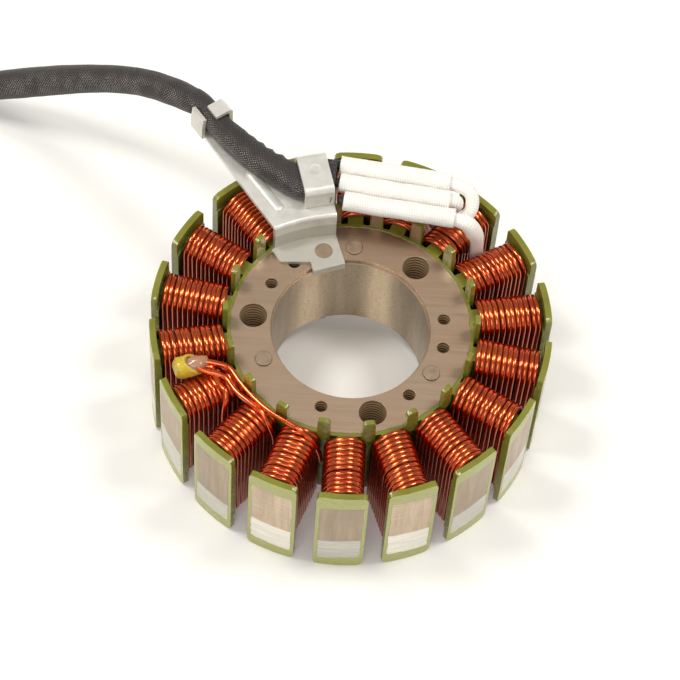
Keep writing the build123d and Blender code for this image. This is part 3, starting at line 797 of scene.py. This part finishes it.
# Woven glass-fibre sleeving, varnished: warm white, fine ribs round it every half millimetre
# crossed by faint long threads
def sleevingMaterial(name, tintA, tintB, relief, rough):
    made, add = newMaterial(name)
    wrap = add("UVMap", uv_map="wrap")
    spot = add("VectorMath:SCALE", {0: wrap, 3: 1000.0})
    across = add("SeparateXYZ", [spot])
    along = add("SeparateXYZ", [spot], out=1)
    stray = add("TexNoise", [spot, None, 0.8, 2.0])
    bent = add("Math:MULTIPLY_ADD", [stray, 0.35, along])
    ribs, threads = (
        add("Math:SINE", [add("Math:MULTIPLY", [way, 2 * math.pi / step])])
        for way, step in ((bent, 0.62), (across, 0.9)))
    weave = add("Math:MULTIPLY_ADD", [threads, 0.35, ribs])
    tone = add("MapRange", [weave, -1.2, 0.6])
    soil = add("TexNoise", [spot, None, 0.18, 3.0])
    clean = add("MapRange", [soil, 0.3, 0.6, 0.6, 1.0])
    mixed = add("Math:MULTIPLY", [tone, clean])
    tint = add("Mix", {0: mixed, 6: tintA, 7: tintB}, **asColour)
    bump = add("Bump", {"Strength": relief, "Distance": 0.00018, "Height": weave})
    return finished(made, add, {
        "Base Color": tint, "Roughness": rough, "IOR": 1.5, "Normal": bump, "Sheen Weight": 0.15,
        "Subsurface Weight": 0.15, "Subsurface Radius": (0.0015, 0.0012, 0.001),
        "Subsurface Scale": 1.0})


whiteSleeving = sleevingMaterial("varnished glass-fibre sleeving", "#EFE7DE", "#FEFCF8", 0.2, 0.6)

sleeveValues = {
    "starts": [(-3.6, 31.85), (-4.9, 37.5), (-4.9, 43.0)],
    "height": 25.85,
    "turn": -6.8,
    "length": 29.6,
    "diameter": 5.3,
    "wall": 0.5,
    "sides": 40,
    "rings": 60,
}


def makeSleeve(values, index):
    ahead = polar(1, values["turn"])
    start = Vector((*values["starts"][index], values["height"]))
    length, rings = values["length"], values["rings"]
    line = [(start + ahead * length * i / rings) * mm for i in range(rings + 1)]
    radius = values["diameter"] / 2

    def wallAt(d, angle, inset):
        worn = skinNoise(angle, d / 7 + 11 * index, 1.1)
        crease = math.exp(-((math.sin((angle - (1.9 - 0.35 * index)) / 2) / 0.12) ** 2)) * 0.22
        crimp = 0.05 * skinNoise(angle, d / 0.9 + 5 * index, 3)
        mouth = math.exp(-(min(d, length - d) / 1.1) ** 2)
        frayed = 0.10 * mouth * math.sin(5 * angle + index)
        r = radius - 0.10 + 0.16 * worn - crease * (1 - mouth) + crimp + frayed - inset
        return r * math.cos(angle) * 1.02, r * math.sin(angle) * 0.98

    return tube(f"spliceSleeve_{index + 1}", line, values["sides"],
                lambda d, a: wallAt(d, a, 0), lambda d, a: wallAt(d, a, values["wall"]),
                values["diameter"])


for index in range(3):
    sleeve = makeSleeve(sleeveValues, index)
    dress(sleeve, whiteSleeving, "white_sleeving", f"splice_sleeve_{index + 1}")

leadValues = {
    "diameter": 3.7,
    "wide": [1.16, 1.12, 1.12],
    "flat": [1.34, 0.84, 0.84],
    "sides": 24,
    "inside": 4.0,
    # bends as steps from the sleeve's mouth, then radius, angle and drop where each goes down
    "bends": [
        [(2.4, -0.3, -0.1), (5.2, -0.9, -3.6)],
        [(1.8, -0.2, 0.0), (2.4, 1.9, -4.4)],
        [(2.7, -0.4, 0.0), (6.2, -2.4, -1.4), (5.9, -6.6, -4.6), (1.7, -7.4, -6.1),
         (-2.4, -4.4, -7.2)],
    ],
    "slots": [
        [(42.7, 40, -9.4), (42.7, 40, -17.0)],
        [(46.49, 57, -8.0), (48.05, 60, -11.6), (48.05, 60, -16.0)],
        [(43.2, 60, -12.0), (43.2, 60, -17.0)],
    ],
}


def makeLead(values, index):
    ahead = polar(1, sleeveValues["turn"])
    start = Vector((*sleeveValues["starts"][index], sleeveValues["height"]))
    mouth = start + ahead * sleeveValues["length"]
    route = [mouth - ahead * values["inside"]]
    route += [mouth + Vector(bend) for bend in values["bends"][index]]
    route += [polar(r, angle, mouth.z + drop) for r, angle, drop in values["slots"][index]]
    line = splineLine(route, 10)
    radius = values["diameter"] / 2

    def skin(d, angle):
        worn = skinNoise(angle, d / 4 + 7 * index)
        r = radius * (0.97 + 0.05 * worn)
        # round in the sleeve's mouth, spread over the coils, narrow again down in the slot
        spread = math.exp(-((d - values["inside"] - 6.0) / 4.6) ** 4)
        wide, flat = (1.0 + (values[way][index] - 1.0) * spread for way in ("wide", "flat"))
        return r * math.cos(angle) * wide, r * math.sin(angle) * flat

    return tube(f"leadSleeve_{index + 1}", line, values["sides"], skin, diameter=values["diameter"])


for index in range(3):
    lead = makeLead(leadValues, index)
    dress(lead, whiteSleeving, "white_sleeving", f"lead_sleeve_{index + 1}")
print("sleeves slipped on")


# Loom under the strap

heldValues = {
    # plan point, height of the centre, width and height of the section
    "sections": [
        ((-6.53, 37.71), 26.7, 14.0, 4.4),
        ((-7.65, 37.83), 26.95, 10.2, 5.0),
        ((-11.52, 37.0), 27.15, 9.6, 5.4),
        ((-15.36, 36.07), 27.2, 9.0, 5.6),
        ((-20.4, 38.5), 27.55, 8.3, 6.4),
        ((-26.9, 42.4), 27.85, 7.6, 7.0),
        ((-33.6, 48.0), 27.95, 7.1, 7.2),
        ((-37.35, 51.63), 28.0, 6.4, 7.2),
        ((-41.79, 57.42), 28.05, 6.0, 7.3),
        ((-43.19, 58.75), 27.9, 6.4, 7.2),
        ((-44.9, 60.2), 27.3, 6.6, 7.1),
    ],
    "sides": 32,
    "diameter": 7.8,
    "slackAt": 20,
    "foldStep": 0.52,
}


def makeHeldLoom(values):
    rows = values["sections"]
    line = splineLine([(*spot, high) for spot, high, wide, tall in rows], 9)
    marks = [0.0]
    for a, b in zip(rows, rows[1:]):
        marks.append(marks[-1] + (Vector((*b[0], b[1])) - Vector((*a[0], a[1]))).length)
    scale = lineLength(line) / mm / marks[-1]
    marks = [m * scale for m in marks]

    def size(d, column):
        for i in range(len(marks) - 1):
            if d <= marks[i + 1] or i == len(marks) - 2:
                t = min(1.0, max(0.0, (d - marks[i]) / (marks[i + 1] - marks[i])))
                t = t * t * (3 - 2 * t)
                return rows[i][column] * (1 - t) + rows[i + 1][column] * t

    def skin(d, angle):
        wide, tall = size(d, 2) / 2, size(d, 3) / 2
        c, s = math.cos(angle), math.sin(angle)
        out, rise = squared(angle, 2.6 if d < 12 else 2.2)
        slack = math.exp(-((d - values["slackAt"]) / 9) ** 2)
        # wrinkles where the sleeving bunches up on the outside of the bend
        outside = max(0.0, c)
        fold = 0.34 * slack * outside * math.sin(d / values["foldStep"] + 1.1 * s)
        grain = 0.10 * skinNoise(angle, d / 3.5, 1.3)
        k = 1 + (fold + grain) / 3.6
        return wide * out * k, tall * rise * (1 + grain / 3.6)

    return tube("heldLoom", line, values["sides"], skin, diameter=values["diameter"])


dress(makeHeldLoom(heldValues), braid, "black_braid", "loom_held")
print("loom clamped")


# Wires inside the sleeves

# Extruded PVC insulation over stranded wire: smooth, half-gloss
blackWire = plainMaterial("black PVC insulation", 0.7, 3.0, ("#232022",),
                          (0.32, 0.46), (0.1, 0.0001), {"IOR": 1.53})
# Tin-dipped strands, soldered, and tinned blades: pale grey and a little lumpy
tinned = (0.22, 0.38), (0.3, 0.0002), {"Metallic": 1.0}
solder = plainMaterial("tinned copper joint", 0.9, 2.0, ("#B9BAB8", "#D6D6D2"), *tinned)
brass = plainMaterial("tinned brass blade", 0.9, 2.0, ("#B8B3A4", "#D9D5C8"), *tinned)
for index in range(3):
    coat(nodes[f"feed_wire_{index + 1}"], blackWire)
    coat(nodes[f"splice_joint_{index + 1}"], solder)
coat(nodes["connector_terminals"], brass)


# Star point

yellowSleeving = sleevingMaterial("yellow varnished sleeving", "#B79A22", "#DDBE35", 0.06, 0.25)


# Clear air-drying varnish brushed over the star point: glassy, milky amber where it is thick
def varnishMaterial():
    made, add = newMaterial("clear winding varnish")
    spot = inMillimetres(add)
    waves = add("TexNoise", [spot, None, 0.35, 1.0])
    bump = add("Bump", {"Strength": 0.3, "Distance": 0.0004, "Height": waves})
    return finished(made, add, {
        "Base Color": "#D0A486", "Roughness": 0.08, "IOR": 1.5, "Normal": bump,
        "Transmission Weight": 0.4})


varnish = varnishMaterial()
starValues = {
    "angle": 201.4,
    "inner": 40.3,
    "outer": 48.3,
    "height": 17.95,
    "diameter": 5.9,
    "wall": 0.75,
    "cut": 5.4,  # how far the mouth's top is cut back
    "wire": 1.5,
    "over": 18.2,
    "coilTop": 17.35,
    "drop": (-39.6, -15.8, 18.4),
    "dropSize": (3.9, 2.2, 1.8),
}


def makeStar(values):
    seatDir = polar(1, values["angle"])
    sideDir = Vector((-seatDir.y, seatDir.x, 0))
    length = values["outer"] - values["inner"]
    line = []
    for i in range(25):
        t = i / 24
        height = values["height"] - 0.5 * t * t
        line.append(polar(values["inner"] + length * t, values["angle"], height) * mm)
    radius = values["diameter"] / 2

    def skin(d, angle):
        close = min(1.0, max(0.0, (length - d) / 2.4))
        bluntness = math.sqrt(max(0.0, 1 - (1 - close) ** 2)) * 0.55 + 0.45 * close
        pinch = 0.12 + 0.88 * bluntness
        worn = 1 + 0.05 * skinNoise(angle, d / 3)
        wide, tall = radius * pinch ** 0.35 * worn, radius * pinch * worn * 0.96
        return wide * math.cos(angle), tall * math.sin(angle)

    def inside(d, angle):
        cut = 1.0 if d < length - 1.9 else max(0.02, (length - d) / 1.9)
        r = (radius - values["wall"]) * cut
        return r * math.cos(angle), r * math.sin(angle)

    sleeve = tube("starSleeve", line, 28, skin, inside, values["diameter"])
    mouth = line[0]
    for v in sleeve.data.vertices:
        along = (v.co - mouth).dot(seatDir) / mm
        rise = max(0.0, (v.co.z - mouth.z) / mm / values["diameter"] + 0.5)
        left = max(0.0, 1 - along / length)
        v.co += seatDir * values["cut"] * rise ** 1.3 * left * mm
    dress(sleeve, yellowSleeving, "yellow_sleeving", "star_sleeve")

    # varnish brushed over the mouth and the wires, in one lumpy drop
    bm = bmesh.new()
    bmesh.ops.create_icosphere(bm, subdivisions=4, radius=1.0)
    seat = Vector(values["drop"])
    for v in bm.verts:
        lump = 1 + 0.16 * noise.noise(v.co * 1.7 + Vector((3, 1, 4)))
        size = [s * lump for s in values["dropSize"]]
        spot = seat + seatDir * v.co.x * size[0] + sideDir * v.co.y * size[1]
        v.co = (spot + Vector((0, 0, v.co.z * size[2]))) * mm
    for face in bm.faces:
        face.smooth = True
    dress(showMesh("starVarnish", bm), varnish, "enamelled_copper")

    over, coilTop = values["over"], values["coilTop"]
    routes = [
        ((-0.75, -0.2), [
            (-37.9, -15.0, 18.7), (-34.2, -15.4, 18.8), (-30.7, -16.1, 18.6),
            (-28.25, -19.75, 18.3), (-24.95, -23.7, over), (-20.9, -27.6, over),
            (-15.8, -30.8, over), (-10.4, -33.8, over),
            polar(36.2, 260, coilTop - 6), polar(36.2, 260.2, coilTop - 10)]),
        ((0.0, 0.6), [
            (-36.9, -18.0, 18.6), (-34.0, -18.2, 18.6), (-31.1, -19.4, 18.4), (-28.9, -23.0, over),
            (-24.8, -26.2, over), (-21.6, -28.5, over - 0.2), (-19.95, -30.8, 16),
            polar(36.6, 240, coilTop - 5.5), polar(36.6, 240.2, coilTop - 10)]),
        ((0.75, -0.4), [
            (-35.2, -15.0, over - 0.6), (-34.4, -18.2, over - 0.4), (-32.9, -21.6, over - 0.1),
            (-30.9, -23.4, over), polar(40.6, 219.6, coilTop - 1.5),
            polar(41.4, 220.1, coilTop - 5), polar(41.4, 220.3, coilTop - 10)]),
    ]
    middle = polar((values["inner"] + values["outer"]) / 2, values["angle"], values["height"])
    for index, ((side, rise), route) in enumerate(routes):
        start = middle + sideDir * side + Vector((0, 0, rise))
        wire = plainWire(f"starWire_{index + 1}", [start] + route, 14, values["wire"])
        dress(wire, enamel, "enamelled_copper", f"star_wire_{index + 1}")


makeStar(starValues)
print("star point made")


# Connector on the loom's end

# Injection-moulded natural nylon: milky, waxy, faint flow marks
nylon = plainMaterial(
    "moulded natural nylon", 0.12, 2.0, ("#DCD5C4", "#EAE4D6"), (0.38, 0.5), None,
    {"IOR": 1.53, "Subsurface Weight": 0.3, "Subsurface Radius": (0.002, 0.0018, 0.0014),
     "Subsurface Scale": 1.0})
connectorValues = {
    "wire": 2.2,
    "rest": -15.35,
    "routes": [
        [(-120.25, 45.0), (-120.25, 54.9), (-137.1, 64.63), (-150.6, 56.83), (-150.6, 42.0)],
        [(-122.5, 45.0), (-122.5, 53.6), (-133.75, 60.1), (-145.0, 53.6), (-145.0, 42.0)],
        [(-124.75, 45.0), (-124.75, 52.3), (-130.4, 55.56), (-139.4, 50.37), (-139.4, 42.0)],
    ],
}
housing = softened("connector_housing", "connectorHousing", 0.3)
dress(housing, nylon, "natural_nylon", "connector_housing")
for index, route in enumerate(connectorValues["routes"]):
    route = [(*p, connectorValues["rest"]) for p in route]
    wire = plainWire(f"connectorWire_{index + 1}", route, 16, connectorValues["wire"])
    dress(wire, blackWire, "black_wire", f"connector_wire_{index + 1}")
print("connector joined")


# Floor, light and air

floorValues = {
    "half": 3.0,
    "height": -19.3,
    "lift": 0.14,
    "boreLift": 0.04,
    "boreRange": (0.020, 0.024),
}


def seenRays(add):
    # 1 for what the camera sees directly, mirrored in metal or through clear varnish
    seen = [add("LightPath", out=f"Is {kind} Ray") for kind in ("Camera", "Glossy", "Transmission")]
    mirrored = add("Math:MAXIMUM", seen[1:])
    return add("Math:MAXIMUM", [seen[0], mirrored])


def makeFloor(values):
    bm = bmesh.new()
    half = values["half"]
    corners = [(-half, -half), (half, -half), (half, half), (-half, half)]
    bm.faces.new([bm.verts.new((*c, values["height"] * mm)) for c in corners])
    piece = showMesh("table", bm)
    made, add = newMaterial("matt white table")
    place = add("TexCoord", out="Object")
    cloud = add("TexNoise", [place, None, 9.0, 2.0])
    tint = add("Mix", {0: cloud, 6: "#F1F0ED", 7: "#F4F3F0"}, **asColour)
    paper = add("BsdfDiffuse", {"Color": tint})
    # painted shade: hardly any lift inside the bore, so the floor shows darker there, where little
    # of the room's light reaches
    plan = add("VectorMath:MULTIPLY", [place, (1, 1, 0)])
    radius = add("VectorMath:LENGTH", [plan], out=1)
    outside = add("MapRange", [radius, *values["boreRange"], values["boreLift"], values["lift"]])
    lift = add("Math:MULTIPLY", [seenRays(add), outside])
    glow = add("Emission", {"Color": "#FFFEFA", "Strength": lift})
    add("OutputMaterial", {"Surface": add("AddShader", [paper, glow])})
    coat(piece, made)


makeFloor(floorValues)

lightValues = {
    "horizon": 1.0,
    "ceiling": 0.36,
    "fade": (0.06, 0.40),
    # place, width and power of each lamp: two softboxes above, a wide one in front
    "lamps": [
        ((-0.42, 0.10, 0.95), 0.26, 4.4),
        ((0.46, 0.10, 0.95), 0.26, 4.2),
        ((-0.25, -0.95, 1.05), 0.7, 3.8),
    ],
}


def makeLight(values):
    world = bpy.data.worlds.new("studio")
    bpy.context.scene.world = world
    world.use_nodes = True
    world.node_tree.nodes.clear()
    add = partial(put, world.node_tree)
    # white towards the horizon, a darker ceiling above, as metal in a studio shows them
    toward = add("TexCoord", out="Generated")
    rise = add("SeparateXYZ", [toward], out=2)
    strength = add("MapRange", [rise, *values["fade"], values["horizon"], values["ceiling"]])
    sky = add("Background", {"Color": "#FFFDF9", "Strength": strength})
    add("OutputWorld", {"Surface": sky})
    for number, (place, size, power) in enumerate(values["lamps"]):
        data = bpy.data.lights.new(f"softbox {number + 1}", "AREA")
        data.shape = "SQUARE"
        data.size = size
        data.energy = power
        data.color = linear("#FFFCF7")[:3]
        lamp = show(data.name, data)
        lamp.location = place
        lamp.rotation_euler = (-Vector(place)).to_track_quat("-Z", "Y").to_euler()


makeLight(lightValues)
bpy.context.scene.view_settings.view_transform = "Standard"
print("lit")
